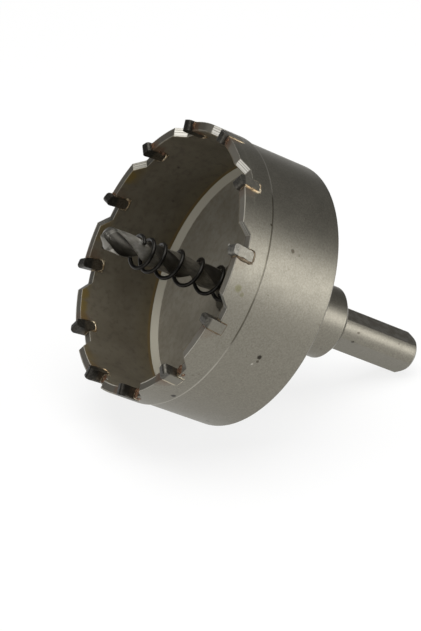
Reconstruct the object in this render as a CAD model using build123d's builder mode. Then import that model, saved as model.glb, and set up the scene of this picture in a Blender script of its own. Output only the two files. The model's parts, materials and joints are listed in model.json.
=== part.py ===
from build123d import *
import os
from math import atan2, cos, radians, sin, tan

# Carbide-tipped hole saw, 76 mm, with its pilot drill and ejector spring.
#
# Heights are measured along the saw's own axis, from the outer face of the cup's
# base (0) up through the mouth. The saw lies as it comes to rest, tipped back on
# the rear edge of the cup and the edge of its shank end, so that axis is tilted.
# Lengths are in millimetres and angles in degrees.

os.makedirs("parts", exist_ok=True)

# cup
cut_dia = 76.0           # circle that the outer corners of the tips cut
tip_side_clear = 0.4     # tips stand proud of the rim band on the outside
body_step = 0.55         # the body is turned down behind the rim band
wall = 2.5               # wall at the rim band
cup_height = 31.3        # outer face of the base to the lands of the teeth
base_thick = 6.5
band_width = 9.2         # rim band, measured from the lands
step_chamfer = 0.35
base_chamfer = 0.5
floor_bevel = 1.6        # bevel between floor and wall inside

# teeth
tooth_count = 12
tooth_phase = -1.6       # angle of the first cutting face
gullet_depth = 2.8
gullet_floor = 3.3
gullet_radius = 0.5
facet_angle = 45.0       # sloped run-out from the gullet floor to the land
tip_thick = 2.8
tip_length = 6.4
tip_stand = 1.7          # cutting edge above the land
tip_inner_clear = 0.25   # tips stand proud of the bore on the inside
tip_corner = 0.9
rake_angle = 6.0
relief_angle = 9.0
side_relief = 5.0
braze = 0.3              # thickness of the bronze round a tip
cutter_margin = 1.5      # how far the cutters run past the metal

# arbor
spigot_dia = 15.0
spigot_clear = 0.05      # brazing gap round the spigot
collar_dia = 20.6
collar_length = 26.6
collar_chamfer = 1.5
neck_dia = 11.0
neck_width = 1.4
neck_corner = 0.6        # slope left in the neck's corner, under the collar
shank_dia = 12.0
shank_length = 28.3
shank_chamfer = 1.2
flat_count = 3
flat_half_angle = 34.0   # half of the arc that each flat takes from the shank
flat_phase = -13.2

# pilot drill
drill_dia = 6.35
drill_length = 74.0
drill_reach = 18.0       # drill point above the lands
point_angle = 118.0
drill_clear = 0.05       # radial clearance in the arbor's bore
drill_end_gap = 0.3
flute_length = 40.0
flute_lead = 34.0
web_thick = 1.3
flute_radius = 2.5
flute_sides = 8          # the groove is drawn as part of an eight-sided tube
run_out_angle = 35.0     # the groove narrows to nothing at its foot
flute_phase = 80.6

# set screw that locks the drill
screw_dia = 6.0
screw_length = 6.0
screw_level = 13.0       # below the outer face of the base
thread_clear = 0.05
screw_chamfer = 0.6
drill_flat = 0.4         # ground flat under the screw
socket_af = 3.0
socket_depth = 2.6
screw_phase = 106.8

# ejector spring
wire_dia = 1.1
coil_dia = 8.4           # mean diameter
wire_sides = 8           # the wire is drawn eight-sided
wire_steps = 12          # and in this many straight lengths a turn
spring_turns = 6.9
spring_phase = -77.8
spring_rise = 31.3       # climb of the wire's centre line over seven turns
coil_levels = (0.0, 0.037, 0.19, 0.415, 0.62, 0.795, 0.905, 1.0)
seat_gap = 0.02
drill_side_gap = 0.03

cut_r = cut_dia / 2
band_r = cut_r - tip_side_clear
body_r = band_r - body_step
bore_r = band_r - wall
spigot_hole_r = spigot_dia / 2 + spigot_clear
collar_r = collar_dia / 2
neck_r = neck_dia / 2
shank_r = shank_dia / 2
drill_r = drill_dia / 2
drill_bore_r = drill_r + drill_clear
wire_r = wire_dia / 2
coil_r = coil_dia / 2
coil_flat_r = coil_r * cos(radians(180 / wire_steps))
spring_sag = coil_flat_r - wire_r - drill_r - drill_side_gap

step_level = cup_height - band_width
floor_level = cup_height - gullet_depth
tip_top = cup_height + tip_stand
tip_foot = tip_top - tip_length
tip_in_r = bore_r - tip_inner_clear
collar_end = -collar_length
neck_end = collar_end - neck_width
shank_end = collar_end - shank_length
drill_tip = cup_height + drill_reach
drill_end = drill_tip - drill_length
bore_end = drill_end - drill_end_gap
point_slope = 1 / tan(radians(point_angle / 2))
rake = tan(radians(rake_angle))

# resting pose: the axis tilts until the cup's rear edge and the shank touch the floor
tilt = atan2(body_r - shank_r, base_chamfer - shank_end - shank_chamfer)
axis_height = body_r * cos(tilt) - base_chamfer * sin(tilt)
back_reach = -shank_end * cos(tilt) + (shank_r - shank_chamfer) * sin(tilt)
front_reach = tip_top * cos(tilt) + cut_r * sin(tilt)
saw = Plane(
    origin=((front_reach - back_reach) / 2, 0, axis_height),
    x_dir=(sin(tilt), 0, cos(tilt)),
    z_dir=(-cos(tilt), 0, sin(tilt)),
)
saw_axis = Axis(saw.origin, saw.z_dir)
half_section = Plane(origin=saw.origin, x_dir=saw.x_dir, z_dir=-saw.y_dir)

# the set screw's own plane, facing out of the collar
screw_side = Plane(saw.location * Rotation(0, 0, screw_phase))
screw_way = Plane(
    origin=screw_side.from_local_coords((0, 0, -screw_level)),
    x_dir=screw_side.y_dir,
    z_dir=screw_side.x_dir,
)
screw_seat = drill_r - drill_flat

# Cutters and blanks for what repeats are drawn about the world's Z axis, at the
# angle of the first tooth, and are set on the saw where they are used. This plane
# faces outward at the cutting edge, X along the rim and Y up the axis.
tooth_face = Plane(origin=(0, 0, 0), x_dir=(0, 1, 0), z_dir=(1, 0, 0))
tooth_angles = [tooth_phase + 360 * i / tooth_count for i in range(tooth_count)]


# gullet cutter: flat floor, sloped facet up to the next land, open top
with BuildPart() as gullet:
    with BuildSketch(tooth_face.offset(bore_r - cutter_margin)):
        gullet_top = cup_height + cutter_margin
        climb = (gullet_top - floor_level) / tan(radians(facet_angle))
        with BuildLine():
            Polyline(
                (-rake * (tip_top - floor_level), floor_level),
                (gullet_floor, floor_level),
                (gullet_floor + climb, gullet_top),
                (-rake * (tip_top - gullet_top), gullet_top),
                close=True,
            )
        make_face()
    extrude(amount=wall + 2 * cutter_margin)
    floor_edges = gullet.edges().filter_by(Axis.X).group_by(Axis.Z)[0]
    fillet(floor_edges.sort_by(Axis.Y)[-1], gullet_radius)

# pocket cutter: the tip's seat, larger than the tip by the brazing gap
with BuildPart() as pocket:
    with BuildSketch(tooth_face.offset(bore_r - cutter_margin)):
        foot_shift = -rake * (tip_length + braze)
        with BuildLine():
            Polyline(
                (braze, tip_top),
                (braze + foot_shift, tip_foot - braze),
                (foot_shift - tip_thick - braze, tip_foot - braze),
                (-tip_thick - braze, tip_top),
                close=True,
            )
        seat = make_face()
        fillet(seat.vertices().sort_by(Axis.Z)[:2], tip_corner + braze)
    extrude(amount=wall + 2 * cutter_margin)

# carbide blank: raked forward, relieved behind its edge and down its outer side
with BuildPart() as blank:
    with BuildSketch(tooth_face.offset(tip_in_r - cutter_margin)):
        with BuildLine():
            Polyline(
                (0, tip_top),
                (-rake * tip_length, tip_foot),
                (-rake * tip_length - tip_thick, tip_foot),
                (-tip_thick, tip_top - tip_thick * tan(radians(relief_angle))),
                close=True,
            )
        side_view = make_face()
        fillet(side_view.vertices().sort_by(Axis.Z)[:2], tip_corner)
    extrude(amount=cut_r - tip_in_r + 2 * cutter_margin)
    with BuildSketch(Plane.XY.offset(tip_foot - cutter_margin)):
        ahead = cutter_margin
        behind = tip_thick + rake * tip_length + cutter_margin
        taper = tan(radians(side_relief))
        with BuildLine():
            Polyline(
                (tip_in_r, ahead),
                (cut_r + ahead * taper, ahead),
                (cut_r - behind * taper, -behind),
                (tip_in_r, -behind),
                close=True,
            )
        make_face()
    extrude(amount=tip_length + 2 * cutter_margin, mode=Mode.INTERSECT)

# bronze left between one carbide and its pocket, flush with both sides of the rim
with BuildPart() as filler:
    with BuildSketch(Plane.XY.offset(tip_foot - braze)):
        Circle(band_r)
        Circle(bore_r, mode=Mode.SUBTRACT)
    extrude(amount=cup_height - tip_foot + braze)
    add(pocket.part, mode=Mode.INTERSECT)
    add(gullet.part, mode=Mode.SUBTRACT)
    add(blank.part, mode=Mode.SUBTRACT)

# flute cutter: a groove on a helix, which narrows to nothing at its foot
with BuildPart() as flute:
    with BuildLine() as run:
        Helix(
            pitch=flute_lead,
            height=flute_length + cutter_margin,
            radius=web_thick / 2 + flute_radius,
            center=(0, 0, drill_tip - flute_length),
        )
    with BuildSketch(Plane(origin=run.line @ 0, z_dir=run.line % 0)) as groove:
        RegularPolygon(flute_radius, flute_sides)
    sweep()
    extrude(groove.sketch, amount=-flute_radius, taper=run_out_angle)


with BuildPart(saw) as cup:
    with BuildSketch(half_section):
        with BuildLine():
            Polyline(
                (spigot_hole_r, 0),
                (body_r - base_chamfer, 0),
                (body_r, base_chamfer),
                (body_r, step_level),
                (body_r + step_chamfer, step_level),
                (band_r, step_level + body_step - step_chamfer),
                (band_r, cup_height),
                (bore_r, cup_height),
                (bore_r, base_thick + floor_bevel),
                (bore_r - floor_bevel, base_thick),
                (spigot_hole_r, base_thick),
                close=True,
            )
        make_face()
    revolve(axis=saw_axis)
    with PolarLocations(0, tooth_count, start_angle=tooth_phase):
        add(gullet.part, mode=Mode.SUBTRACT)
        add(pocket.part, mode=Mode.SUBTRACT)

cup.part.label = "cup"
export_step(cup.part, "parts/cup.step")


# spigot, collar and shank turned from one bar
with BuildPart(saw) as arbor:
    with BuildSketch(half_section):
        with BuildLine():
            Polyline(
                (0, base_thick),
                (spigot_dia / 2, base_thick),
                (spigot_dia / 2, 0),
                (collar_r, 0),
                (collar_r, collar_end + collar_chamfer),
                (collar_r - collar_chamfer, collar_end),
                (neck_r + neck_corner, collar_end),
                (neck_r, collar_end - neck_corner),
                (neck_r, neck_end),
                (shank_r, neck_end),
                (shank_r, shank_end + shank_chamfer),
                (shank_r - shank_chamfer, shank_end),
                (0, shank_end),
                close=True,
            )
        make_face()
    revolve(axis=saw_axis)
    with BuildSketch(saw.offset(shank_end)):
        flat_level = shank_r * cos(radians(flat_half_angle))
        with PolarLocations(flat_level + shank_r / 2, flat_count, start_angle=flat_phase):
            Rectangle(shank_r, shank_dia)
    extrude(amount=shank_length - neck_width / 2, mode=Mode.SUBTRACT)
    with BuildSketch(half_section):
        with BuildLine():
            Polyline(
                (0, base_thick),
                (drill_bore_r, base_thick),
                (drill_bore_r, bore_end),
                (0, bore_end),
                close=True,
            )
        make_face()
    revolve(axis=saw_axis, mode=Mode.SUBTRACT)
    with BuildSketch(screw_way):
        Circle(screw_dia / 2)
    extrude(amount=collar_dia, mode=Mode.SUBTRACT)

arbor.part.label = "arbor"
export_step(arbor.part, "parts/arbor.step")


with BuildPart(saw) as pilot_drill:
    with Locations((0, 0, drill_end)):
        Cylinder(drill_r, drill_length, align=(Align.CENTER, Align.CENTER, Align.MIN))
    with BuildSketch(half_section):
        with BuildLine():
            Polyline(
                (0, drill_tip),
                (drill_dia, drill_tip - drill_dia * point_slope),
                (drill_dia, drill_tip + cutter_margin),
                (0, drill_tip + cutter_margin),
                close=True,
            )
        make_face()
    revolve(axis=saw_axis, mode=Mode.SUBTRACT)
    with PolarLocations(0, 2, start_angle=flute_phase):
        add(flute.part, mode=Mode.SUBTRACT)
    with BuildSketch(screw_way.offset(screw_seat)):
        Rectangle(drill_dia, screw_dia + 2)
    extrude(amount=drill_dia, mode=Mode.SUBTRACT)

pilot_drill.part.label = "pilot_drill"
export_step(pilot_drill.part, "parts/pilot_drill.step")


# socket set screw, its foot on the drill's ground flat
with BuildPart() as set_screw:
    with BuildSketch(screw_way.offset(screw_seat)):
        Circle(screw_dia / 2 - thread_clear)
    extrude(amount=screw_length)
    chamfer(set_screw.faces().sort_by(Axis(screw_way.origin, screw_way.z_dir))[-1].edges(), screw_chamfer)
    with BuildSketch(screw_way.offset(screw_seat + screw_length)):
        RegularPolygon(socket_af / 2, 6, major_radius=False)
    extrude(amount=-socket_depth, mode=Mode.SUBTRACT)

set_screw.part.label = "set_screw"
export_step(set_screw.part, "parts/set_screw.step")


def coil_point(turn):
    """Centre of the wire after some turns, wound left-handed about the world's Z axis."""
    step = min(int(turn), len(coil_levels) - 2)
    level = coil_levels[step] + (turn - step) * (coil_levels[step + 1] - coil_levels[step])
    angle = radians(-360 * turn)
    return (coil_r * cos(angle), coil_r * sin(angle), level * spring_rise)


# The spring's end turns are closed up. It is looser than the drill, so it hangs on
# it, off the saw's axis.
with BuildPart() as coil:
    with BuildLine() as wire:
        steps = round(spring_turns * wire_steps)
        Polyline(*[coil_point(i / wire_steps) for i in range(steps + 1)])
    with BuildSketch(Plane(origin=wire.wire() @ 0, z_dir=wire.wire() % 0)):
        RegularPolygon(wire_r, wire_sides)
    sweep(path=wire.wire(), transition=Transition.RIGHT)

with BuildPart(saw) as ejector_spring:
    with Locations(Pos(-spring_sag, 0, base_thick + seat_gap + wire_r)):
        with Locations(Rotation(0, 0, spring_phase)):
            add(coil.part)

ejector_spring.part.label = "ejector_spring"
export_step(ejector_spring.part, "parts/ejector_spring.step")


for number, angle in enumerate(tooth_angles, start=1):
    with BuildPart(saw) as carbide_tip:
        with Locations(Rotation(0, 0, angle)):
            add(blank.part)
    carbide_tip.part.label = f"carbide_tip_{number:02d}"
    export_step(carbide_tip.part, f"parts/carbide_tip_{number:02d}.step")

    with BuildPart(saw) as braze_seam:
        with Locations(Rotation(0, 0, angle)):
            add(filler.part)
    braze_seam.part.label = f"braze_seam_{number:02d}"
    export_step(braze_seam.part, f"parts/braze_seam_{number:02d}.step")
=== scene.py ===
import json
import math
import random
from functools import cached_property

import bmesh
import bpy
from mathutils import Matrix, Vector, noise
from mathutils.geometry import delaunay_2d_cdt


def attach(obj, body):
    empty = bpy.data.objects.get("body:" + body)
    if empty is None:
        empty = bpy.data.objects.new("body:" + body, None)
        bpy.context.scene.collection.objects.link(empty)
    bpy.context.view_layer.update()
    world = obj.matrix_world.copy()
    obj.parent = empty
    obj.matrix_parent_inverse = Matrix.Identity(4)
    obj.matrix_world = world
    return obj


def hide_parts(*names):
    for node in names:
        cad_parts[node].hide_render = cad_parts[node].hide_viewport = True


# Carbide-tipped hole saw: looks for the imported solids, finer meshes for its drill,
# spring and set screw, and the bronze and burnt flux left by the brazing.

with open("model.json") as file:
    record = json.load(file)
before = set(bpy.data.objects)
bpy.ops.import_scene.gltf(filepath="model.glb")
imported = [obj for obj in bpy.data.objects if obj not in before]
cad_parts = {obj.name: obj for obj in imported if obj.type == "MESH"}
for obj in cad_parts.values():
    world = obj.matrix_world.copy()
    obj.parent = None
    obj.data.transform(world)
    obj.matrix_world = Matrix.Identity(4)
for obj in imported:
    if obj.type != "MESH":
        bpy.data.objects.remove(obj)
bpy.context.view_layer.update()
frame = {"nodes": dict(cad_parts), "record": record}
nodes = frame["nodes"]
mounts = {m["name"]: m for m in frame["record"]["mounts"]}
random.seed(76)

# ---------------------------------------------------------------------------
# Sizes in the saw's own frame, in millimetres and degrees: Z runs along the axis
# from the outer face of the cup's base (0) up through the mouth, X is the upper
# side and Y is the row's Y. An angle turns from X towards Y. A size that the packed
# solids have too is the same there.
# ---------------------------------------------------------------------------

MM = 0.001               # a millimetre in metres

# cup
BODY_R = 37.05           # outside, behind the rim band
BAND_R = 37.6            # outside of the rim band
BORE_R = 35.1
FLOOR = 6.5              # inner face of the base
BEVEL_TOP = 8.1          # where the bevel round the floor meets the wall
STEP = 22.1              # foot of the rim band
GULLET = 28.5            # floor of the gullets
LAND = 31.3              # rim between the gullets

# teeth
TOOTH_COUNT = 12
TOOTH_PITCH = 360 / TOOTH_COUNT
TOOTH_PHASE = -1.6       # angle of the first cutting face
TIP_TOP = 33.0
TIP_LENGTH = 6.4
TIP_THICK = 2.8
TIP_CORNER = 0.9
RAKE = math.tan(math.radians(6))
BRAZE = 0.3              # thickness of the bronze round an insert
FACET_START = 5.0        # the sloped facet, in degrees past the cutting face
FACET_END = 9.4

# arbor
COLLAR_R = 10.3
COLLAR_END = -26.6
NECK_R = 5.5
NECK_END = -28.0
SHANK_R = 6.0
SHANK_END = -54.9

# pilot drill
DRILL_R = 3.175
DRILL_TIP = 49.3
DRILL_END = -24.7
END_CHAMFER = 0.3
POINT_SLOPE = 1 / math.tan(math.radians(59))
FLUTE_LENGTH = 40.0
FLUTE_FOOT = DRILL_TIP - FLUTE_LENGTH
FLUTE_LEAD = 34.0        # climb of a flute in one turn
FLUTE_PHASE = 80.6
FLUTE_R = 2.5
RUN_OUT = 3.6            # the flutes deepen over this length below their foot
WEB = 1.3
MARGIN_WIDTH = 12.0      # degrees of each land that stand at full diameter
LAND_RELIEF = 0.11
HEEL_SLOPE = math.tan(math.radians(9))

# set screw
SCREW_R = 2.95
SCREW_LENGTH = 6.0
SCREW_LEVEL = -13.0
SCREW_PHASE = 106.8
SCREW_SEAT = DRILL_R - 0.4
SEAT_FOOT = SCREW_LEVEL - 4.0    # the flat ground on the drill under the screw
SEAT_TOP = SCREW_LEVEL + 4.0
HOLE_R = 3.0
THREAD_PITCH = 1.0
THREAD_DEPTH = 0.58
END_CUT = 0.75           # chamfers at the screw's ends
SOCKET_AF = 3.0
SOCKET_DEPTH = 2.6
SCREW_SIDES = 60
HOLE_ROWS = 57
HOLE_ROW_GAP = 0.03
HOLE_THREAD_DEPTH = 0.42
MOUTH_SINK = 0.12        # the hole's thread ends this far inside the collar's round

# ejector spring
WIRE_R = 0.55
COIL_R = 4.2
SPRING_TURNS = 6.9
SPRING_PHASE = -77.8
SPRING_RISE = 31.3       # climb of the wire's centre line over seven turns
SEAT_GAP = 0.02
DRILL_SIDE_GAP = 0.03
COIL_LEVELS = (0.0, 0.037, 0.19, 0.415, 0.62, 0.795, 0.905, 1.0)    # shares of the climb

saw_z = -Vector(mounts["shank_end"]["axis"]).normalized()
saw_y = Vector((0, 1, 0))
saw_x = saw_y.cross(saw_z)
saw_turn = Matrix((saw_x, saw_y, saw_z)).transposed()
saw_origin = Vector(mounts["shank_end"]["pos_m"]) - saw_z * SHANK_END * MM
saw = Matrix.Translation(saw_origin) @ saw_turn.to_4x4() @ Matrix.Scale(MM, 4)


def at(radius, angle, height):
    """A point in the saw's frame from its radius, angle and height."""
    a = math.radians(angle)
    return Vector((radius * math.cos(a), radius * math.sin(a), height))


def tooth(number):
    """Angle of a tooth's cutting face."""
    return TOOTH_PHASE + TOOTH_PITCH * (number - 1)


def smooth_step(low, high, value):
    """0 at low and 1 at high, eased between them."""
    t = min(max((value - low) / (high - low), 0), 1)
    return t * t * (3 - 2 * t)


# ---------------------------------------------------------------------------
# Materials
# ---------------------------------------------------------------------------


class Finish:
    """A node material, with short names for the nodes that the finishes share."""

    def __init__(self, name, colour, metallic, roughness):
        self.material = bpy.data.materials.new(name)
        self.material.use_nodes = True
        self.tree = self.material.node_tree
        self.shader = self.tree.nodes["Principled BSDF"]
        self.set("Base Color", (*colour, 1))
        self.set("Metallic", metallic)
        self.set("Roughness", roughness)

    def feed(self, socket, value):
        """Link an output to a socket, or set the socket to a plain value."""
        if isinstance(value, bpy.types.NodeSocket):
            self.tree.links.new(value, socket)
        else:
            socket.default_value = value

    def set(self, socket, value):
        """Give a socket of the shader its value or its link."""
        self.feed(self.shader.inputs[socket], value)

    def node(self, kind, settings=(), **inputs):
        made = self.tree.nodes.new(kind)
        for key, value in dict(settings).items():
            setattr(made, key, value)
        for key, value in inputs.items():
            self.feed(made.inputs[key.replace("_", " ")], value)
        return made

    @cached_property
    def place(self):
        """The shaded point in the saw's frame, in millimetres."""
        return self.node(
            "ShaderNodeMapping",
            {"vector_type": "TEXTURE"},
            Vector=self.node("ShaderNodeTexCoord").outputs["Object"],
            Location=saw_origin,
            Rotation=saw_turn.to_euler(),
            Scale=(MM, MM, MM),
        ).outputs["Vector"]

    @cached_property
    def xyz(self):
        return self.node("ShaderNodeSeparateXYZ", Vector=self.place).outputs

    @cached_property
    def height(self):
        return self.xyz["Z"]

    @cached_property
    def radius(self):
        x_square = self.math("POWER", self.xyz["X"], 2.0)
        y_square = self.math("POWER", self.xyz["Y"], 2.0)
        return self.math("SQRT", self.math("ADD", x_square, y_square))

    @cached_property
    def around(self):
        """The angle about the saw's axis, from -180 to 180 degrees."""
        angle = self.math("ARCTAN2", self.xyz["Y"], self.xyz["X"])
        return self.math("MULTIPLY", angle, math.degrees(1))

    def math(self, operation, *values):
        made = self.node("ShaderNodeMath", {"operation": operation})
        for socket, value in zip(made.inputs, values):
            self.feed(socket, value)
        return made.outputs[0]

    def times(self, first, *others):
        """The product of several values."""
        for other in others:
            first = self.math("MULTIPLY", first, other)
        return first

    def most(self, first, *others):
        """The largest of several values."""
        for other in others:
            first = self.math("MAXIMUM", first, other)
        return first

    def between(self, value, low, high):
        """0 at low and 1 at high, eased between them; low may be the larger."""
        eased = {"interpolation_type": "SMOOTHSTEP"}
        made = self.node("ShaderNodeMapRange", eased, Value=value, From_Min=low, From_Max=high)
        return made.outputs["Result"]

    def band(self, value, low, high, soft):
        """1 from low to high, eased to 0 over soft on both sides."""
        rise = self.between(value, low - soft, low)
        return self.times(rise, self.between(value, high + soft, high))

    def mix(self, factor, first, second):
        """The first colour where the factor is 0, and the second where it is 1."""
        made = self.node("ShaderNodeMix", {"data_type": "RGBA"})
        self.feed(made.inputs[0], factor)
        for socket, colour in ((made.inputs[6], first), (made.inputs[7], second)):
            self.feed(socket, (*colour, 1) if isinstance(colour, tuple) else colour)
        return made.outputs[2]

    def blend(self, factor, first, second):
        """The same as mix, for numbers."""
        gap = self.math("SUBTRACT", second, first)
        return self.math("ADD", self.times(factor, gap), first)

    def noise(self, scale, detail=3.0, roughness=0.5, stretch=None):
        """Noise over the saw, its scale in waves a millimetre."""
        place = self.place
        if stretch:
            made = self.node("ShaderNodeVectorMath", {"operation": "MULTIPLY"})
            self.feed(made.inputs[0], place)
            self.feed(made.inputs[1], stretch)
            place = made.outputs["Vector"]
        made = self.node(
            "ShaderNodeTexNoise", Vector=place, Scale=scale, Detail=detail, Roughness=roughness
        )
        return made.outputs["Fac"]

    def near(self, point, reach, ragged=0.0, grain=0.6):
        """1 at a point of the saw's frame, falling to 0 at its reach, with a ragged edge."""
        gap = self.node("ShaderNodeVectorMath", {"operation": "DISTANCE"})
        self.feed(gap.inputs[0], self.place)
        self.feed(gap.inputs[1], point)
        distance = gap.outputs["Value"]
        if ragged:
            wander = self.math("MULTIPLY", self.math("SUBTRACT", self.noise(grain), 0.5), ragged * 2)
            distance = self.math("ADD", distance, wander)
        return self.between(distance, reach, reach * 0.45)

    def soft_edges(self, reach):
        """The shading normal with the sharp edges rounded over a reach in millimetres."""
        return self.node("ShaderNodeBevel", {"samples": 4}, Radius=reach * MM).outputs["Normal"]

    def bump(self, height, distance, strength=1.0, under=None):
        """A normal with relief of a distance in millimetres, over the normal under it."""
        made = self.node("ShaderNodeBump", Height=height, Distance=distance * MM, Strength=strength)
        if under:
            self.feed(made.inputs["Normal"], under)
        return made.outputs["Normal"]


BLASTED_DARK = (0.176, 0.165, 0.135)
BLASTED = (0.205, 0.192, 0.158)
BLASTED_LIGHT = (0.235, 0.221, 0.183)


def blasted(f):
    """The colour and the relief of finely blasted steel."""
    grain = f.noise(2.1, 4.0, 0.7)
    blotch = f.noise(0.13, 4.0, 0.6)
    tone = f.mix(f.between(grain, 0.32, 0.68), BLASTED_DARK, BLASTED_LIGHT)
    tone = f.mix(f.times(f.between(blotch, 0.35, 0.75), 0.4), tone, BLASTED)
    pits = f.between(f.noise(0.62, 2.0, 0.5), 0.71, 0.76)
    return f.mix(f.times(pits, 0.5), tone, (0.12, 0.105, 0.08)), grain


def marked(f, tone, marks):
    """Single specks and pits over a colour, each with its place, reach, strength and colour."""
    for point, reach, strength, colour in marks:
        mark = f.near(point, reach, ragged=0.25, grain=2.2)
        tone = f.mix(f.times(mark, strength), tone, colour)
    return tone


# cup -----------------------------------------------------------------------

CUP_MARKS = (
    (at(BODY_R, -55.9, 14.8), 0.75, 0.75, (0.07, 0.055, 0.04)),
    (at(BODY_R, -56.6, 12.6), 0.4, 0.5, (0.10, 0.085, 0.06)),
    (at(BODY_R, -100.5, 12.5), 0.85, 0.95, (0.03, 0.025, 0.02)),
    (at(BODY_R, -102.5, 12.2), 0.5, 0.7, (0.05, 0.04, 0.03)),
    (at(BODY_R, -104.4, 13.2), 0.42, 0.8, (0.45, 0.43, 0.38)),
    (at(BAND_R, -135.0, 23.7), 0.9, 0.95, (0.03, 0.026, 0.022)),
    (at(BODY_R, -151.0, 5.1), 0.6, 0.7, (0.05, 0.045, 0.035)),
    (at(BAND_R, -77.7, 28.0), 1.3, 0.5, (0.12, 0.115, 0.04)),
    (at(BAND_R, -79.4, 26.3), 0.8, 0.4, (0.12, 0.11, 0.045)),
    (at(BAND_R, -49.2, 22.8), 0.5, 0.8, (0.05, 0.04, 0.03)),
    (at(13.8, 54.4, FLOOR), 0.4, 0.95, (0.80, 0.79, 0.75)),
    (at(BORE_R, 57.0, 21.0), 0.5, 0.7, (0.03, 0.025, 0.02)),
    (at(BORE_R, 75.0, 15.0), 0.5, 0.5, (0.03, 0.025, 0.02)),
)

# stronger spots of ochre inside the rim: angle, reach and how ragged each is
OCHRE_SPOTS = ((130.0, 2.9, 0.8), (136.0, 2.9, 0.8), (142.0, 2.9, 0.8), (72.0, 3.0, 1.2))

# how strongly the heat of brazing browned the steel behind each insert
BLOOM = {1: 0.8, 2: 0.9, 3: 0.9, 4: 0.3, 5: 0.5, 6: 0.5, 7: 0.4, 8: 0.9, 9: 0.8, 10: 0.3, 11: 0.25, 12: 0.5}


def rim_wear_and_highlights(f, tone, rim):
    """The rim: its middle darker away from the right side as painted shade, and its edges worn bright with
    a painted highlight, most past 80 and -128 degrees. The rim, dark in the middle and worn bright along
    its edges, most on the photo's left.
    """
    left = f.most(f.between(f.around, 80.0, 90.0), f.between(f.around, -128.0, -134.0))
    right = f.band(f.around, -122.0, 10.0, 6.0)
    top = f.band(f.around, 14.0, 85.0, 4.0)
    front = f.band(f.around, -114.0, -36.0, 3.0)
    # painted shade and light: the rim's middle is darker outside the band of angles on the right and
    # lighter inside it
    middle = f.mix(right, (0.095, 0.086, 0.067), (0.165, 0.152, 0.125))
    tone = f.mix(f.times(rim, f.band(f.radius, BORE_R + 0.2, BAND_R - 0.3, 0.2)), tone, middle)
    inner_edge = f.band(f.radius, BORE_R + 0.1, BORE_R + 0.36, 0.07)
    outer_edge = f.band(f.radius, BAND_R - 0.32, BAND_R - 0.1, 0.07)
    # worn edges with a painted highlight: pale bands along the edges, placed by angle where they catch the
    # light
    inner_edge_wear_and_highlight = f.times(inner_edge, f.most(left, f.times(top, 0.4)))
    outer_edge_wear_and_highlight = f.times(outer_edge, f.most(f.times(left, 0.55), front))
    return f.mix(f.times(rim, f.most(inner_edge_wear_and_highlight, outer_edge_wear_and_highlight)), tone, (0.54, 0.515, 0.445))


def ground_facets(f):
    """Where the sloped facets are, and their colour: streaked, with a painted highlight on the facets of
    three teeth.
    """
    from_cut = f.math("MODULO", f.math("ADD", f.around, 360 - TOOTH_PHASE), TOOTH_PITCH)
    facet = f.times(
        f.band(from_cut, FACET_START, FACET_END, 0.2), f.band(f.height, GULLET + 0.15, LAND - 0.1, 0.05)
    )
    facet = f.times(facet, f.band(f.radius, BORE_R + 0.12, BAND_R - 0.12, 0.06))
    one_way = {"noise_dimensions": "1D"}
    streaks = f.node("ShaderNodeTexNoise", one_way, W=f.radius, Scale=3.1, Detail=3.0).outputs["Fac"]
    usual = f.mix(f.between(streaks, 0.4, 0.6), (0.10, 0.095, 0.08), (0.26, 0.25, 0.22))
    # painted highlight: near-white on the facets of teeth 12, 1 and 2, which face the light
    facet_highlight = f.mix(f.between(streaks, 0.36, 0.5), (0.25, 0.235, 0.20), (0.66, 0.64, 0.585))
    # tooth 0 is the last one, with its angle counted back
    at_facet_highlight = f.most(*(f.band(f.around, tooth(n) + 4.5, tooth(n) + 10, 0.4) for n in (0, 1, 2)))
    return facet, f.mix(at_facet_highlight, usual, facet_highlight)


def wall_oxide_and_shade(f):
    """Where the wall inside is, and its colour: brown oxide, partly painted shade, ochre in places at the
    rim.
    """
    wall = f.times(
        f.between(f.radius, BORE_R + 0.3, BORE_R + 0.1),
        f.between(f.height, BEVEL_TOP - 0.05, BEVEL_TOP + 0.15),
    )
    grain = f.noise(0.55, 5.0, 0.6)
    cloud = f.noise(0.09, 3.0, 0.6)
    # brown oxide, kept dark in part as painted shade inside the cup
    tone = f.mix(f.between(cloud, 0.35, 0.65), (0.112, 0.096, 0.067), (0.140, 0.122, 0.088))
    tone = f.mix(f.between(f.height, 15.0, BEVEL_TOP + 0.4), tone, (0.13, 0.108, 0.066))
    tone = f.mix(f.times(f.between(grain, 0.45, 0.75), 0.5), tone, (0.06, 0.05, 0.036))
    near_rim = f.between(f.height, LAND - 4.8, LAND - 0.8)
    ochre = f.times(near_rim, f.between(f.noise(0.16, 3.0), 0.46, 0.62), 0.6)
    for angle, reach, ragged in OCHRE_SPOTS:
        ochre = f.most(ochre, f.near(at(BORE_R, angle, LAND + 0.1), reach, ragged=ragged, grain=0.5))
    return wall, f.mix(ochre, tone, (0.15, 0.105, 0.03))


def turned_floor(f):
    """Where the cup's floor is, and its colour, with darker scuffs."""
    place = f.times(
        f.between(f.height, FLOOR + 0.12, FLOOR + 0.05),
        f.between(f.height, FLOOR - 0.5, FLOOR - 0.1),
        f.between(f.radius, BORE_R - 0.9, BORE_R - 1.1),
    )
    tone = f.mix(f.between(f.noise(0.11, 4.0, 0.6), 0.35, 0.7), (0.25, 0.23, 0.185), (0.32, 0.297, 0.245))
    scuffs = f.between(f.noise(0.6, 2.0, 0.6), 0.4, 0.7)
    return place, f.mix(f.times(scuffs, 0.35), tone, (0.18, 0.158, 0.12))


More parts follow.
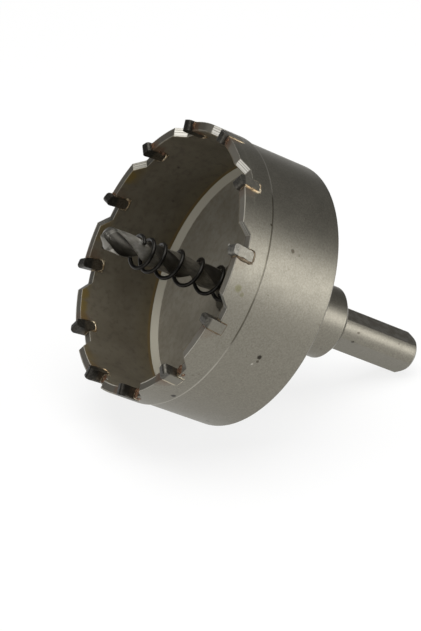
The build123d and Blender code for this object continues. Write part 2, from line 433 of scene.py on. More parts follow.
def outside_lines(f, tone):
    """The line along the step: a painted shadow at the front and a painted highlight elsewhere, patchy, and
    a faint one at the base.
    """
    outside = f.between(f.radius, BODY_R - 0.55, BODY_R - 0.15)
    step_line = f.times(f.band(f.height, STEP - 0.18, STEP + 0.5, 0.16), outside)
    step_line_patchiness = f.between(f.noise(0.1, 3.0), 0.3, 0.55)
    # painted shadow along the step over the front angles, painted highlight on its edge at the other angles
    step_shadow_and_highlight = f.mix(f.band(f.around, -97.0, -38.0, 6.0), (0.36, 0.342, 0.295), (0.07, 0.062, 0.045))
    tone = f.mix(f.times(step_line, f.blend(step_line_patchiness, 0.45, 0.85)), tone, step_shadow_and_highlight)
    base_line = f.times(
        f.band(f.height, -0.05, 0.42, 0.1), f.between(f.radius, BODY_R - 0.75, BODY_R - 0.45)
    )
    return f.mix(f.times(base_line, 0.5), tone, (0.10, 0.09, 0.07))


def brazing_bloom(f):
    """Where the heat of brazing left a brown bloom behind the inserts."""
    spots = []
    for number, strength in BLOOM.items():
        spot = f.near(at(BORE_R + 0.9, tooth(number) - 5.4, LAND - 0.9), 3.6, ragged=1.6, grain=0.9)
        spots.append(f.times(spot, strength * 0.8))
    return f.most(*spots)


def blasted_steel():
    """The cup: blasted outside and brown oxide inside, with the marks that it carries, and painted light
    and shade on its rim, facets, step line and inner wall.
    """
    f = Finish("blasted_steel", BLASTED, 1.0, 0.42)
    tone, grain = blasted(f)
    rim = f.most(
        f.between(f.height, LAND - 0.15, LAND - 0.05), f.band(f.height, GULLET - 0.03, GULLET + 0.03, 0.03)
    )
    tone = rim_wear_and_highlights(f, tone, rim)
    facet, facet_tone = ground_facets(f)
    tone = f.mix(facet, tone, facet_tone)
    wall, wall_tone = wall_oxide_and_shade(f)
    tone = f.mix(wall, tone, wall_tone)
    wall_foot = f.times(wall, f.band(f.height, BEVEL_TOP + 0.1, BEVEL_TOP + 0.7, 0.5))
    tone = f.mix(f.times(wall_foot, 0.8), tone, (0.17, 0.115, 0.045))
    bevel = f.times(
        f.band(f.height, FLOOR + 0.08, BEVEL_TOP, 0.08), f.between(f.radius, BORE_R + 0.9, BORE_R + 0.4)
    )
    tone = f.mix(bevel, tone, (0.31, 0.29, 0.23))
    floor_place, floor_tone = turned_floor(f)
    tone = f.mix(floor_place, tone, floor_tone)
    tone = outside_lines(f, tone)
    bloom = brazing_bloom(f)
    tone = f.mix(bloom, tone, (0.11, 0.06, 0.032))
    f.set("Base Color", marked(f, tone, CUP_MARKS))

    dulled = ((wall, 0.62), (rim, 0.45), (floor_place, 0.6), (bevel, 0.7), (bloom, 0.5))
    dull = f.most(*(f.times(place, share) for place, share in dulled))
    f.set("Metallic", f.math("SUBTRACT", 1.0, dull))
    rough = f.blend(f.between(f.noise(0.3, 3.0), 0.3, 0.7), 0.425, 0.455)
    rough = f.blend(f.most(wall, floor_place, bevel), rough, 0.52)
    f.set("Roughness", f.blend(facet, rough, 0.5))
    peel = f.bump(f.noise(0.75, 2.0, 0.5), 0.03, 0.4, under=f.soft_edges(0.18))
    f.set("Normal", f.bump(grain, 0.022, 0.35, under=peel))
    return f


# arbor ---------------------------------------------------------------------

SHANK_MARKS = (
    (at(SHANK_R, -72.0, -33.2), 0.5, 0.75, (0.055, 0.046, 0.034)),
    (at(SHANK_R - 0.1, -100.5, -32.8), 0.6, 0.9, (0.04, 0.034, 0.026)),
    (at(SHANK_R, -60.0, -47.5), 0.4, 0.5, (0.07, 0.06, 0.045)),
)


def turned_steel():
    """The arbor: turned, dark in its neck from dirt and painted shade, with painted shade where it meets
    the cup, duller flats and the top one darker in patches.
    """
    f = Finish("turned_steel", BLASTED, 1.0, 0.42)
    tone, grain = blasted(f)
    # dirt and painted shade: the neck between collar and shank is darkened almost to black
    neck = f.times(
        f.band(f.height, NECK_END - 0.15, COLLAR_END + 0.1, 0.12),
        f.between(f.radius, NECK_R + 1.9, NECK_R + 1.1),
    )
    tone = f.mix(f.times(neck, 0.95), tone, (0.028, 0.024, 0.018))
    # painted shade where the arbor meets the cup's base
    root = f.band(f.height, -0.7, 0.2, 0.7)
    tone = f.mix(f.times(root, 0.45), tone, (0.09, 0.08, 0.06))
    flats = f.times(
        f.between(f.radius, SHANK_R - 0.07, SHANK_R - 0.2),
        f.between(f.height, NECK_END - 0.5, NECK_END - 1.0),
    )
    tone = f.mix(f.times(flats, 0.35), tone, (0.20, 0.19, 0.16))
    # the top flat darker in patches
    top_flat_patches = f.times(f.between(f.noise(0.45, 4.0, 0.6), 0.38, 0.62), f.band(f.around, -46.0, 20.0, 3.0))
    tone = f.mix(f.times(flats, top_flat_patches, 0.7), tone, (0.115, 0.092, 0.062))
    f.set("Base Color", marked(f, tone, SHANK_MARKS))

    rings = f.noise(2.6, 2.0, 0.6, stretch=(0.05, 0.05, 3.0))
    f.set("Roughness", f.blend(f.between(rings, 0.35, 0.65), 0.38, 0.45))
    relief = f.bump(grain, 0.02, 0.35, under=f.soft_edges(0.2))
    f.set("Normal", f.bump(rings, 0.02, 0.4, under=relief))
    return f


# drill ---------------------------------------------------------------------


def ground_steel():
    """The drill: bright lands, dark oxide in the flutes, and painted shade down inside the spring."""
    f = Finish("ground_steel", (0.34, 0.33, 0.30), 1.0, 0.3)
    scuff = f.noise(1.6, 4.0, 0.65, stretch=(1.0, 1.0, 0.35))
    inside_spring = f.between(f.height, DRILL_TIP - 9.8, DRILL_TIP - 13.8)
    tone = f.mix(f.between(scuff, 0.3, 0.7), (0.54, 0.525, 0.475), (0.66, 0.64, 0.585))
    # painted shade: the drill darker down inside the spring and the cup
    drill_inside_shade = f.mix(f.between(scuff, 0.3, 0.75), (0.115, 0.105, 0.084), (0.20, 0.185, 0.152))
    tone = f.mix(inside_spring, tone, drill_inside_shade)
    cone = f.math("ADD", f.math("MULTIPLY", f.radius, POINT_SLOPE), f.height)
    ground = f.between(cone, DRILL_TIP - 1.7, DRILL_TIP - 1.2)
    shoulder = f.times(
        f.between(f.height, DRILL_TIP - 3.3, DRILL_TIP - 2.8),
        f.between(f.radius, DRILL_R - 0.575, DRILL_R - 0.275),
    )
    ground = f.most(ground, shoulder)
    flutes = f.between(f.radius, DRILL_R - 0.135, DRILL_R - 0.275)
    flutes = f.times(flutes, f.math("SUBTRACT", 1.0, ground))
    tone = f.mix(f.times(flutes, 0.85), tone, (0.062, 0.056, 0.044))
    f.set("Base Color", f.mix(f.times(ground, 0.9), tone, (0.16, 0.152, 0.132)))
    f.set("Roughness", f.blend(f.between(scuff, 0.3, 0.7), 0.36, 0.46))
    f.set("Metallic", f.blend(inside_spring, 1.0, 0.7))
    f.set("Normal", f.bump(f.noise(5.0, 2.0, 0.6, stretch=(1.0, 1.0, 0.3)), 0.004, 0.3))
    return f


# inserts, bronze and flux --------------------------------------------------


def carbide(name, face, skin_share, scale=0.0):
    """An insert: dark at the cutting face, scorched at its foot, and outside blasted with the cup."""
    f = Finish(name, face, 0.9, 0.38)
    tone, grain = blasted(f)
    outside = f.times(
        f.between(f.radius, BAND_R - 0.15, BAND_R + 0.05), f.between(f.height, LAND + 0.2, LAND - 0.4)
    )
    darker, lighter = tuple(v * 0.7 for v in face), tuple(v * 1.35 for v in face)
    dark = f.mix(f.between(f.noise(1.8, 4.0, 0.65), 0.3, 0.7), darker, lighter)
    skin = f.mix(skin_share, dark, tone)
    scorched = f.times(
        f.between(f.radius, BAND_R - 0.2, BAND_R - 0.4), f.between(f.height, LAND - 0.7, LAND - 1.9), 0.85
    )
    scorch_tone = f.mix(f.between(grain, 0.4, 0.6), (0.080, 0.066, 0.047), (0.125, 0.107, 0.079))
    colour = f.mix(outside, f.mix(scorched, dark, scorch_tone), skin)
    if scale:
        flakes = f.between(f.noise(1.3, 2.0, 0.5), 0.55, 0.6)
        colour = f.mix(f.times(flakes, scale), colour, (0.40, 0.39, 0.35))
    f.set("Base Color", colour)
    f.set("Roughness", f.blend(f.between(grain, 0.3, 0.7), 0.4, 0.52))
    f.set("Normal", f.bump(grain, 0.02, 0.4, under=f.soft_edges(0.15)))
    return f


def brazing_bronze():
    """Bronze round the inserts: burnt inside and at two teeth outside, and silvered at one."""
    f = Finish("brazing_bronze", (0.4, 0.26, 0.14), 0.9, 0.4)
    pale = f.mix(f.between(f.noise(0.5, 3.0), 0.35, 0.6), (0.42, 0.30, 0.17), (0.66, 0.57, 0.41))
    pale = f.mix(f.between(f.noise(1.9, 3.0, 0.6), 0.52, 0.7), pale, (0.17, 0.10, 0.055))
    inside = f.times(
        f.between(f.radius, BORE_R + 0.8, BORE_R + 0.4), f.between(f.height, GULLET - 0.9, GULLET - 0.1)
    )
    outside = f.between(f.radius, BAND_R - 0.6, BAND_R - 0.3)
    burnt = f.most(f.times(inside, 0.85), f.times(outside, f.band(f.around, -102.0, -54.0, 2.0), 0.85))
    silvered = f.times(outside, f.band(f.around, -136.0, -107.0, 2.0), 0.75)
    tone = f.mix(silvered, pale, (0.42, 0.39, 0.31))
    f.set("Base Color", f.mix(burnt, tone, (0.07, 0.048, 0.031)))
    f.set("Roughness", f.blend(f.noise(1.4), 0.3, 0.55))
    f.set("Normal", f.bump(f.noise(2.6, 3.0), 0.05, 0.5))
    return f


def burnt_flux():
    """Brown glassy crust with paler grains."""
    f = Finish("burnt_flux", (0.1, 0.05, 0.03), 0.45, 0.5)
    crust = f.noise(1.5, 4.0, 0.65)
    tone = f.mix(f.between(crust, 0.36, 0.6), (0.035, 0.016, 0.010), (0.15, 0.075, 0.036))
    f.set("Base Color", f.mix(f.between(f.noise(2.4, 2.0), 0.61, 0.68), tone, (0.40, 0.29, 0.19)))
    f.set("Normal", f.bump(crust, 0.08, 0.7))
    return f


# spring and screw ----------------------------------------------------------


def black_oxide():
    """The spring's wire: blackened and oiled."""
    f = Finish("black_oxide", (0.03, 0.03, 0.03), 0.6, 0.32)
    f.set("Specular IOR Level", 0.3)
    patches = f.between(f.noise(1.1, 3.0), 0.3, 0.7)
    f.set("Base Color", f.mix(patches, (0.008, 0.0073, 0.0058), (0.020, 0.018, 0.0145)))
    f.set("Roughness", f.blend(f.noise(2.2, 3.0), 0.24, 0.44))
    f.set("Normal", f.bump(f.noise(5.0, 2.0), 0.01, 0.4))
    return f


def screw_black():
    """The set screw, blackened."""
    f = Finish("screw_black", (0.03, 0.03, 0.03), 0.7, 0.38)
    patches = f.between(f.noise(1.8, 3.0), 0.35, 0.7)
    f.set("Base Color", f.mix(patches, (0.022, 0.021, 0.02), (0.06, 0.057, 0.052)))
    f.set("Roughness", f.blend(f.noise(2.0, 3.0), 0.3, 0.5))
    f.set("Normal", f.bump(f.noise(5.0, 2.0), 0.01, 0.4))
    return f


cup_finish = blasted_steel()
arbor_finish = turned_steel()
drill_finish = ground_steel()
# one carbide at three brightnesses, as painted light and shade: darkest on the teeth across the cup, where
# shade falls, lightest on tooth 11, by the key lamp's highlight
carbide_shaded = carbide("carbide_shaded", (0.042, 0.039, 0.033), 0.3)
carbide_half_lit = carbide("carbide_half_lit", (0.078, 0.073, 0.062), 0.8)
carbide_lit = carbide("carbide_lit", (0.13, 0.124, 0.108), 0.62, scale=0.15)
bronze_finish = brazing_bronze()
burnt_finish = burnt_flux()
spring_finish = black_oxide()
screw_finish = screw_black()

# ---------------------------------------------------------------------------
# Meshes, drawn in the saw's frame
# ---------------------------------------------------------------------------


def piece(name, verts, faces, finish, slot, sharp=35.0, replaces=()):
    """A new part of the saw, from points in its frame; edges above the sharp angle stay sharp."""
    mesh = bpy.data.meshes.new(name)
    mesh.from_pydata([saw @ Vector(v) for v in verts], [], faces)
    bm = bmesh.new()
    bm.from_mesh(mesh)
    bmesh.ops.recalc_face_normals(bm, faces=bm.faces)
    for edge in bm.edges:
        if len(edge.link_faces) == 2 and edge.calc_face_angle(0) > math.radians(sharp):
            edge.smooth = False
    for face in bm.faces:
        face.smooth = True
    bm.to_mesh(mesh)
    bm.free()
    mesh.materials.append(finish.material)
    made = bpy.data.objects.new(name, mesh)
    bpy.context.scene.collection.objects.link(made)
    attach(made, "root")
    if replaces:
        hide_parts(*replaces)
    return made


def faces_between(row_count, row_length):
    """Faces between closed rows of points that follow each other."""
    faces = []
    for i in range(row_count - 1):
        for j in range(row_length):
            k = (j + 1) % row_length
            a, b = i * row_length, (i + 1) * row_length
            faces.append((a + j, a + k, b + k, b + j))
    return faces


def flat_list(rows):
    """The points of all rows, one row after another."""
    return [point for row in rows for point in row]


def joined(parts):
    """Many separate (points, faces) as one."""
    verts, faces = [], []
    for part_verts, part_faces in parts:
        start = len(verts)
        verts += part_verts
        faces += [tuple(start + i for i in face) for face in part_faces]
    return verts, faces


def tube(points, radii, sides):
    """Points and faces of a round tube along a line, closed at both ends."""
    verts = []
    guide = None
    for i, point in enumerate(points):
        way = (points[min(i + 1, len(points) - 1)] - points[max(i - 1, 0)]).normalized()
        if guide is None:
            guide = way.orthogonal().normalized()
        guide = (guide - way * guide.dot(way)).normalized()
        side = way.cross(guide)
        for j in range(sides):
            a = 2 * math.pi * j / sides
            verts.append(point + (guide * math.cos(a) + side * math.sin(a)) * radii[i])
    faces = faces_between(len(points), sides)
    faces.append(tuple(range(sides)))
    faces.append(tuple(range(len(verts) - sides, len(verts))))
    return verts, faces


# pilot drill ---------------------------------------------------------------

FLUTE_CENTRE = WEB / 2 + FLUTE_R
GROOVE_REACH = math.acos((FLUTE_CENTRE**2 + FLUTE_R**2 - DRILL_R**2) / (2 * FLUTE_CENTRE * FLUTE_R))
GROOVE_CORNER = math.degrees(
    math.atan2(FLUTE_R * math.sin(GROOVE_REACH), FLUTE_CENTRE - FLUTE_R * math.cos(GROOVE_REACH))
)
GROOVE_STEPS = 18
LAND_STEPS = 16
RUN_OUT_STEPS = 7
FLUTE_STEPS = 110
POINT_STEPS = 6
POINT_RINGS = {0.3: 6, 0.6: 10, 1.0: 16, 1.5: 24, 2.0: 32, 2.5: 40, 2.9: 46}     # radius: points on it

screw_out = at(1, SCREW_PHASE, 0)


def drill_section():
    """The drill's outline across, anticlockwise, with its two flutes at 0 and 180 degrees."""
    half = []
    for i in range(GROOVE_STEPS + 1):
        # from the corner at negative y to the corner at positive y, through the web
        a = GROOVE_REACH * (1 - 2 * i / GROOVE_STEPS)
        half.append(Vector((FLUTE_CENTRE - FLUTE_R * math.cos(a), -FLUTE_R * math.sin(a), 0)))
    start, end = GROOVE_CORNER, 180 - GROOVE_CORNER
    for i in range(1, LAND_STEPS):
        # the land behind a flute leads with its far corner, where its margin is
        a = start + (end - start) * i / LAND_STEPS
        relief = LAND_RELIEF * smooth_step(MARGIN_WIDTH - 2, MARGIN_WIDTH + 3, end - a)
        half.append(at(DRILL_R - relief, a, 0))
    return half + [Vector((-p.x, -p.y, 0)) for p in half]


section = drill_section()


def flute_turn(z):
    """Angle that the flutes have turned to at a height."""
    return FLUTE_PHASE + 360 * (z - FLUTE_FOOT) / FLUTE_LEAD


def point_level(r):
    """Height of the point's cone at a radius."""
    return DRILL_TIP - POINT_SLOPE * r


def heel_drop(p):
    """How far the point is ground away behind its lips, at a place of the section."""
    r = p.length
    a = math.degrees(math.atan2(p.y, p.x)) % 180
    # each lip runs along its flute's trailing side
    behind = (180 - GROOVE_CORNER - a) % 180
    if behind > 150:
        behind = 0
    return math.radians(behind) * r * HEEL_SLOPE * smooth_step(0.6, 1.6, r)


def drill_levels():
    """Heights of the drill's rows, up to the shoulder of its point."""
    levels = [DRILL_END, DRILL_END + END_CHAMFER]
    levels += [SEAT_FOOT - 0.01, SEAT_FOOT, SEAT_TOP, SEAT_TOP + 0.01, 0.0, FLUTE_FOOT - RUN_OUT]
    levels += [FLUTE_FOOT - RUN_OUT + RUN_OUT * (i + 1) / RUN_OUT_STEPS for i in range(RUN_OUT_STEPS)]
    start, top = levels[-1], point_level(DRILL_R)
    return levels + [start + (top - start) * (i + 1) / FLUTE_STEPS for i in range(FLUTE_STEPS - 1)]


def drill_rows():
    """Rows of points up the drill: round, then fluted, then each point up to its place on the cone."""
    levels = drill_levels()
    polar = [(p.length, math.degrees(math.atan2(p.y, p.x)), p) for p in section]
    rows = []
    for z in levels:
        depth = smooth_step(FLUTE_FOOT - RUN_OUT, FLUTE_FOOT, z)
        row = []
        for r, a, _ in polar:
            shown = DRILL_R + (r - DRILL_R) * depth
            if z == DRILL_END:
                shown -= END_CHAMFER
            place = at(shown, a + flute_turn(max(z, 0)), z)
            if SEAT_FOOT <= z <= SEAT_TOP:
                place -= screw_out * max(place.dot(screw_out) - SCREW_SEAT, 0)
            row.append(place)
        rows.append(row)
    last = levels[-1]
    for i in range(1, POINT_STEPS + 1):
        row = []
        for r, a, p in polar:
            z = last + (point_level(r) - heel_drop(p) - last) * i / POINT_STEPS
            row.append(at(r, a + flute_turn(z), z))
        rows.append(row)
    return rows


def fluted_drill():
    """The drill, with relieved lands and a ground point."""
    rows = drill_rows()
    verts = flat_list(rows)
    width = len(section)
    faces = faces_between(len(rows), width)
    faces.append(tuple(range(width)))

    # the ground point: the last row's outline, filled and lifted to the cone
    rim_start = len(verts) - width
    rim = [Vector((v.x, v.y)) for v in verts[rim_start:]]
    inner = [Vector((0.0, 0.0))]
    for ring, spots in POINT_RINGS.items():
        for i in range(spots):
            a = 2 * math.pi * (i + 0.5 * (spots % 4)) / spots
            inner.append(Vector((ring * math.cos(a), ring * math.sin(a))))
    outline = [(i, (i + 1) % width) for i in range(width)]
    filled_points, _, filled_faces, source, _, _ = delaunay_2d_cdt(rim + inner, outline, [], 1, 1e-5)
    index = {}
    for i, point in enumerate(filled_points):
        if source[i] and source[i][0] < width:
            index[i] = rim_start + source[i][0]
            continue
        level = point_level(point.length)
        turn = math.radians(-flute_turn(level))
        x = point.x * math.cos(turn) - point.y * math.sin(turn)
        y = point.x * math.sin(turn) + point.y * math.cos(turn)
        index[i] = len(verts)
        verts.append(Vector((point.x, point.y, level - heel_drop(Vector((x, y, 0))))))
    faces += [tuple(index[i] for i in face) for face in filled_faces]
    return piece("fluted_drill", verts, faces, drill_finish, "drill_steel", 28.0, ["pilot_drill"])


# ejector spring ------------------------------------------------------------


def coil_level(turn):
    """Share of the spring's climb, eased between the levels of its turns."""
    step = min(int(turn), len(COIL_LEVELS) - 2)
    t = turn - step
    last = len(COIL_LEVELS) - 1
    around = [COIL_LEVELS[min(max(step + k, 0), last)] for k in (-1, 0, 1, 2)]
    lead, trail = (around[2] - around[0]) / 2, (around[3] - around[1]) / 2
    h = (2 * t**3 - 3 * t**2 + 1, t**3 - 2 * t**2 + t, -2 * t**3 + 3 * t**2, t**3 - t**2)
    return h[0] * around[1] + h[1] * lead + h[2] * around[2] + h[3] * trail


def round_wire_spring():
    """The spring, hanging on the drill."""
    sag = COIL_R - WIRE_R - DRILL_R - DRILL_SIDE_GAP
    steps_a_turn = 40
    points = []
    for i in range(round(SPRING_TURNS * steps_a_turn) + 1):
        turn = i / steps_a_turn
        level = FLOOR + SEAT_GAP + WIRE_R + coil_level(turn) * SPRING_RISE
        points.append(at(COIL_R, SPRING_PHASE - 360 * turn, level) - Vector((sag, 0, 0)))
    verts, faces = tube(points, [WIRE_R] * len(points), 14)
    return piece("round_wire_spring", verts, faces, spring_finish, "spring_steel", 50.0, ["ejector_spring"])


# set screw -----------------------------------------------------------------

screw_up = Vector((0, 0, 1))
screw_side = screw_up.cross(screw_out)


def on_screw(along, r, a):
    """A point about the screw's own axis, from its foot on the drill's flat."""
    return (
        screw_out * (SCREW_SEAT + along)
        + Vector((0, 0, SCREW_LEVEL))
        + (screw_up * math.cos(a) + screw_side * math.sin(a)) * r
    )


def screw_angle(side):
    """Angle in radians of one of the sides that the screw is drawn with."""
    return 2 * math.pi * side / SCREW_SIDES


def thread_height(along, side):
    """0 at the root and 1 at the crest of the thread, at a place along the screw and round it."""
    phase = along / THREAD_PITCH - side / SCREW_SIDES
    t = abs((phase % 1) - 0.5) * 2
    return min(max((t - 0.15) / 0.7, 0), 1)


def threaded_set_screw():
    """The screw, with its thread, chamfers and hexagon socket."""
    # eight rows to a turn of the thread, and a few over the chamfers
    threaded = [0.35 + THREAD_PITCH / 8 * i for i in range(1, 41)]
    levels = [0.0, 0.35, *threaded, SCREW_LENGTH - 0.4, SCREW_LENGTH - 0.15, SCREW_LENGTH]
    rows = []
    for along in levels:
        row = []
        for side in range(SCREW_SIDES):
            r = SCREW_R - THREAD_DEPTH * (1 - thread_height(along, side))
            foot_cut = END_CUT * smooth_step(END_CUT, 0.0, along)
            head_cut = END_CUT * smooth_step(SCREW_LENGTH - 0.7, SCREW_LENGTH, along)
            row.append(on_screw(along, min(r, SCREW_R - foot_cut - head_cut), screw_angle(side)))
        rows.append(row)
    # the socket: widened at its mouth, then straight down
    for widened, sunk in ((1.12, 0), (1.0, 0.18), (1.0, SOCKET_DEPTH)):
        row = []
        for side in range(SCREW_SIDES):
            a = screw_angle(side)
            hexagon = math.cos((a % (math.pi / 3)) - math.pi / 6)
            row.append(on_screw(SCREW_LENGTH - sunk, SOCKET_AF / 2 / hexagon * widened, a))
        rows.append(row)
    verts = flat_list(rows)
    faces = faces_between(len(rows), SCREW_SIDES)
    faces.append(tuple(range(SCREW_SIDES)))
    # the socket ends in a cone, as its drill leaves it
    cone_foot = len(verts)
    verts.append(on_screw(SCREW_LENGTH - SOCKET_DEPTH - 0.5, 0, 0))
    last = cone_foot - SCREW_SIDES
    faces += [(last + i, last + (i + 1) % SCREW_SIDES, cone_foot) for i in range(SCREW_SIDES)]
    return piece("threaded_set_screw", verts, faces, screw_finish, "screw_steel", 32.0, ["set_screw"])


def hole_thread():
    """The thread in the mouth of the screw's hole: a closed ring, cut off at the collar's round."""
    thread_rows, wall_rows = [], []
    for i in range(HOLE_ROWS):
        along = SCREW_LENGTH - 0.2 + i * HOLE_ROW_GAP
        thread_row, wall_row = [], []
        for side in range(SCREW_SIDES):
            a = screw_angle(side)
            mouth = on_screw(along, HOLE_R - 0.02, a)
            # how far this place would stand past where the thread ends
            over = math.hypot(mouth.x, mouth.y) - (COLLAR_R - MOUTH_SINK)
            depth = HOLE_THREAD_DEPTH * (1 - thread_height(along, side)) * smooth_step(0.0, -0.45, over)
            level = along - max(over, 0)
            thread_row.append(on_screw(level, HOLE_R - 0.04 - depth, a))
            wall_row.append(on_screw(level, HOLE_R, a))
        thread_rows.append(thread_row)
        wall_rows.append(wall_row)
    rows = [*thread_rows, wall_rows[-1], wall_rows[0]]
    verts = flat_list(rows)
    # one more row of faces leads back to the first points
    faces = [tuple(i % len(verts) for i in face) for face in faces_between(len(rows) + 1, SCREW_SIDES)]
    return piece("hole_thread", verts, faces, arbor_finish, "arbor_steel", 32.0)


# brazing beads -------------------------------------------------------------

# each bead's radius about the saw's axis, its thickness, how far it wanders, and the
# shares of its thickness at the front, the foot and the back of the insert
OUTER_BEAD = (BAND_R - 0.06, 0.25, 0.09, (0.75, 1.0, 1.25))
INNER_BEAD = (BORE_R + 0.06, 0.36, 0.12, (0.55, 1.0, 0.6))
THICK_OUTER_BEADS = {10: 0.8, 11: 1.7, 12: 1.6}      # tooth: share of that thickness
BEAD_SPACING = 0.3


def on_tooth(number, radius, along, height):
    """A point on a cylinder about the axis, from the cutting edge's plane of a tooth."""
    p = Vector((math.sqrt(max(radius**2 - along**2, 0)), along, height))
    a = math.radians(tooth(number))
    return Vector((p.x * math.cos(a) - p.y * math.sin(a), p.x * math.sin(a) + p.y * math.cos(a), p.z))


def seam_line(corner_steps=7):
    """The middle of the bronze round an insert's foot, as (along, height), front to back."""
    gap = BRAZE / 2
    foot = TIP_TOP - TIP_LENGTH - gap
    front_foot = gap - RAKE * (TIP_LENGTH + gap)
    back_foot = -TIP_THICK - gap - RAKE * TIP_LENGTH
    corner = TIP_CORNER + gap
    line = [(gap - RAKE * (TIP_TOP - GULLET), GULLET)]
    line.append((front_foot + RAKE * corner, foot + corner))
    for i in range(1, corner_steps + 1):
        a = math.radians(90 * i / corner_steps)
        line.append((front_foot - corner + corner * math.cos(a), foot + corner - corner * math.sin(a)))
    for i in range(1, corner_steps + 1):
        a = math.radians(90 * i / corner_steps)
        line.append((back_foot + corner - corner * math.sin(a), foot + corner - corner * math.cos(a)))
    line.append((-TIP_THICK - gap - RAKE * (TIP_TOP - LAND), LAND))
    dense = []
    for (x0, z0), (x1, z1) in zip(line, line[1:]):
        count = max(1, round(math.hypot(x1 - x0, z1 - z0) / BEAD_SPACING))
        dense += [(x0 + (x1 - x0) * k / count, z0 + (z1 - z0) * k / count) for k in range(count)]
    return dense + [line[-1]]


def bead(number, radius, size, wander, weights):
    """A bead along a seam."""
    front, foot, back = weights
    points, radii = [], []
    for along, height in seam_line():
        seed = Vector((along * 0.7 + number * 9.1, height * 0.7, radius))
        shift = noise.noise(seed) * wander
        lift = noise.noise(seed + Vector((9, 0, 0))) * wander
        rise = smooth_step(TIP_TOP - TIP_LENGTH + 0.2, TIP_TOP - TIP_LENGTH + 1.2, height)
        side = back if along < -TIP_THICK / 2 - RAKE * TIP_LENGTH / 2 else front
        swell = (foot + (side - foot) * rise) * (1 + 0.4 * noise.noise(seed * 1.7 + Vector((5, 5, 5))))
        points.append(on_tooth(number, radius, along + shift, height + lift))
        radii.append(size * swell)
    radii[0] *= 0.5
    radii[-1] *= 0.6
    return tube(points, radii, 8)


def braze_beads():
    """Beads of bronze along every seam, outside and inside the rim."""
    beads = []
    for number in range(1, TOOTH_COUNT + 1):
        radius, size, wander, weights = OUTER_BEAD
        beads.append(bead(number, radius, size * THICK_OUTER_BEADS.get(number, 1.0), wander, weights))
        beads.append(bead(number, *INNER_BEAD))
    return piece("braze_beads", *joined(beads), bronze_finish, "bronze", 60.0)


# burnt flux ----------------------------------------------------------------

# how much bronze and flux is left behind each insert, on the land and inside the rim,
# and how much in front of it, in the gullet
LEFT_BEHIND = {
    1: 1.1, 2: 1.0, 3: 1.0, 4: 0.5, 5: 0.5, 6: 0.4, 7: 0.5, 8: 0.6, 9: 0.5, 10: 0.3, 11: 0.3, 12: 0.2
}
LEFT_IN_FRONT = {1: 0.5, 7: 1.1, 8: 1.35, 9: 1.35}
RIM_R = BORE_R + 1.2     # about the middle of the rim
LUMP_SIZE = (0.75, 0.6, 0.62)
LUMP_FLATNESS = 0.45


def lump(centre, out, along, scale, seed):
    """A lump of bronze and burnt flux that sits on the rim."""
    out = out.normalized()
    along = (along - out * along.dot(out)).normalized()
    side = out.cross(along)
    size = [share * scale for share in LUMP_SIZE]
    rings, sides = 7, 14
    verts = []
    for i in range(rings + 1):
        tilt = math.pi * i / rings
        for j in range(sides):
            a = 2 * math.pi * j / sides
            way = Vector((math.sin(tilt) * math.cos(a), math.sin(tilt) * math.sin(a), math.cos(tilt)))
            swell = 1 + 0.45 * noise.noise(way * 1.6 + Vector((seed, 0, 0)))
            verts.append(
                centre
                + along * way.x * size[0] * swell
                + side * way.y * size[1] * swell
                + out * way.z * size[2] * LUMP_FLATNESS * swell
            )
    return verts, faces_between(rings + 1, sides)


def lumps(number, amount, angle, spots):
    """A lump at each spot, of a random size; a spot is a place and the way out from the steel."""
    made = []
    for k, (centre, out) in enumerate(spots):
        scale = amount * random.uniform(0.55, 1.1)
        made.append(lump(centre, out, at(1, angle + 90, 0), scale, number * 7.3 + k * 2.1))
    return made


def flux_residue():
    """Lumps of bronze and burnt flux at the inserts."""
    upward = Vector((0, 0, 1))
    made = []
    for number, amount in LEFT_BEHIND.items():
        angle = tooth(number) - math.degrees((TIP_THICK + BRAZE + 0.15) / RIM_R)
        spots = []
        for k in range(3):
            spots.append((at(BORE_R + 0.8 + 0.5 * k, angle - 0.35 + 0.3 * k, LAND - 0.03), upward))
        for k in range(2):
            spots.append((at(BORE_R + 0.03, angle - 0.5, LAND - 2.1 - 1.3 * k), at(-1, angle, 0)))
        made += lumps(number, amount, angle, spots)
    for number, amount in LEFT_IN_FRONT.items():
        angle = tooth(number) + 0.9
        spots = []
        for k in range(4):
            spots.append((at(BAND_R - 0.6 - 0.5 * k, angle + 0.7 * (k % 2), GULLET - 0.03), upward))
        spots.append((at(BAND_R - 0.02, angle + 0.4, GULLET - 0.7), at(1, angle, 0)))
        made += lumps(number, amount, angle, spots)
    return piece("flux_residue", *joined(made), burnt_finish, "bronze", 60.0)


fluted_drill()
round_wire_spring()
threaded_set_screw()
hole_thread()
braze_beads()
flux_residue()

# ---------------------------------------------------------------------------
# Finishes of the imported solids
# ---------------------------------------------------------------------------

# each tooth's carbide brightness is painted light and shade
TIP_FINISHES = {1: carbide_half_lit, 9: carbide_half_lit, 10: carbide_half_lit, 11: carbide_lit, 12: carbide_half_lit}


def dress(node, finish):
    """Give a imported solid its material."""
    for slot in nodes[node].material_slots:
        slot.material = finish.material


dress("cup", cup_finish)
dress("arbor", arbor_finish)
dress("pilot_drill", drill_finish)
dress("set_screw", screw_finish)
dress("ejector_spring", spring_finish)
for number in range(1, TOOTH_COUNT + 1):
    dress(f"carbide_tip_{number:02d}", TIP_FINISHES.get(number, carbide_shaded))
    dress(f"braze_seam_{number:02d}", bronze_finish)

# ---------------------------------------------------------------------------
# Floor, lamps and camera, in metres
# ---------------------------------------------------------------------------

FLOOR_RADIUS = 8.0
FLOOR_WHITE = 0.82       # share of plain white in the floor, as the camera and gloss see it
WORLD_GREY = 0.12
LAMP_AIM = Vector((0, 0, 0.035))
CAMERA_PLACE = (-0.2418, -0.5287, 0.3017)
CAMERA_AIM = Vector((0.3584, 0.8289, -0.4296))


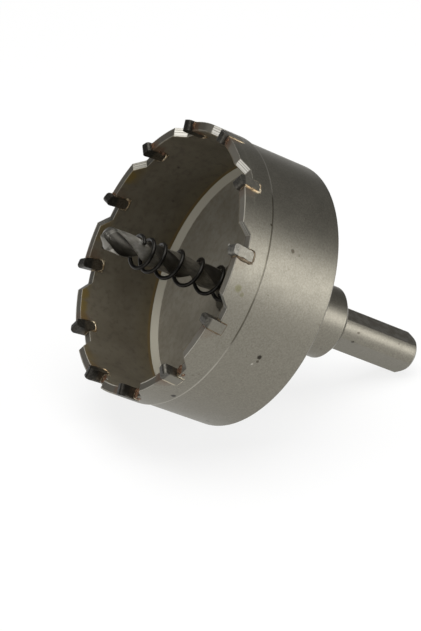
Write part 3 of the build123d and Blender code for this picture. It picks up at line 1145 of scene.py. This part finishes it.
def linked(name, data):
    """A new object of the scene."""
    made = bpy.data.objects.new(name, data)
    bpy.context.scene.collection.objects.link(made)
    return made


def floor_white():
    """White to the eye and in reflections, with the object's shadow on it."""
    f = Finish("floor_white", (0.93, 0.93, 0.92), 0.0, 0.9)
    rays = f.node("ShaderNodeLightPath").outputs
    seen = f.most(rays["Is Camera Ray"], rays["Is Glossy Ray"], rays["Is Transmission Ray"])
    white = f.node("ShaderNodeEmission", Color=(1, 1, 1, 1), Strength=1.0)
    shown = f.node("ShaderNodeMixShader", Fac=f.times(seen, FLOOR_WHITE))
    f.feed(shown.inputs[1], f.shader.outputs["BSDF"])
    f.feed(shown.inputs[2], white.outputs["Emission"])
    f.feed(f.tree.nodes["Material Output"].inputs["Surface"], shown.outputs["Shader"])
    return f


def make_floor():
    """A round floor under the saw."""
    mesh = bpy.data.meshes.new("floor")
    bm = bmesh.new()
    bmesh.ops.create_circle(bm, cap_ends=True, segments=96, radius=FLOOR_RADIUS)
    bm.to_mesh(mesh)
    bm.free()
    linked("floor", mesh)
    mesh.materials.append(floor_white().material)


def make_world():
    """A plain dim grey all round."""
    world = bpy.data.worlds.new("world")
    bpy.context.scene.world = world
    world.use_nodes = True
    background = world.node_tree.nodes["Background"]
    background.inputs["Color"].default_value = (WORLD_GREY, WORLD_GREY, WORLD_GREY, 1)
    background.inputs["Strength"].default_value = 1.0


def lamp(name, azimuth, elevation, distance, size, power):
    """A square soft lamp that faces the object, in degrees, metres and watts.

    Its azimuth turns from +Y towards +X.
    """
    data = bpy.data.lights.new(name, "AREA")
    data.size = size
    data.energy = power
    made = linked(name, data)
    a, e = math.radians(azimuth), math.radians(elevation)
    away = Vector((math.sin(a) * math.cos(e), math.cos(a) * math.cos(e), math.sin(e)))
    made.location = LAMP_AIM + away * distance
    made.rotation_euler = away.to_track_quat("Z", "Y").to_euler()


def make_camera():
    """A camera where the photo's stood."""
    data = bpy.data.cameras.new("camera")
    data.sensor_fit = "VERTICAL"
    data.sensor_height = 36
    data.lens = 136.0
    data.clip_start = 0.05
    data.clip_end = 30
    camera = linked("camera", data)
    camera.location = CAMERA_PLACE
    camera.rotation_euler = CAMERA_AIM.to_track_quat("-Z", "Y").to_euler()
    bpy.context.scene.camera = camera


make_floor()
make_world()
lamp("key_right", 135, 9, 0.9, 0.5, 3.9)
lamp("front_left", 238, 14, 0.9, 0.5, 1.5)
lamp("overhead", 0, 90, 1.5, 1.6, 30.0)
make_camera()
bpy.context.scene.view_settings.view_transform = "Standard"
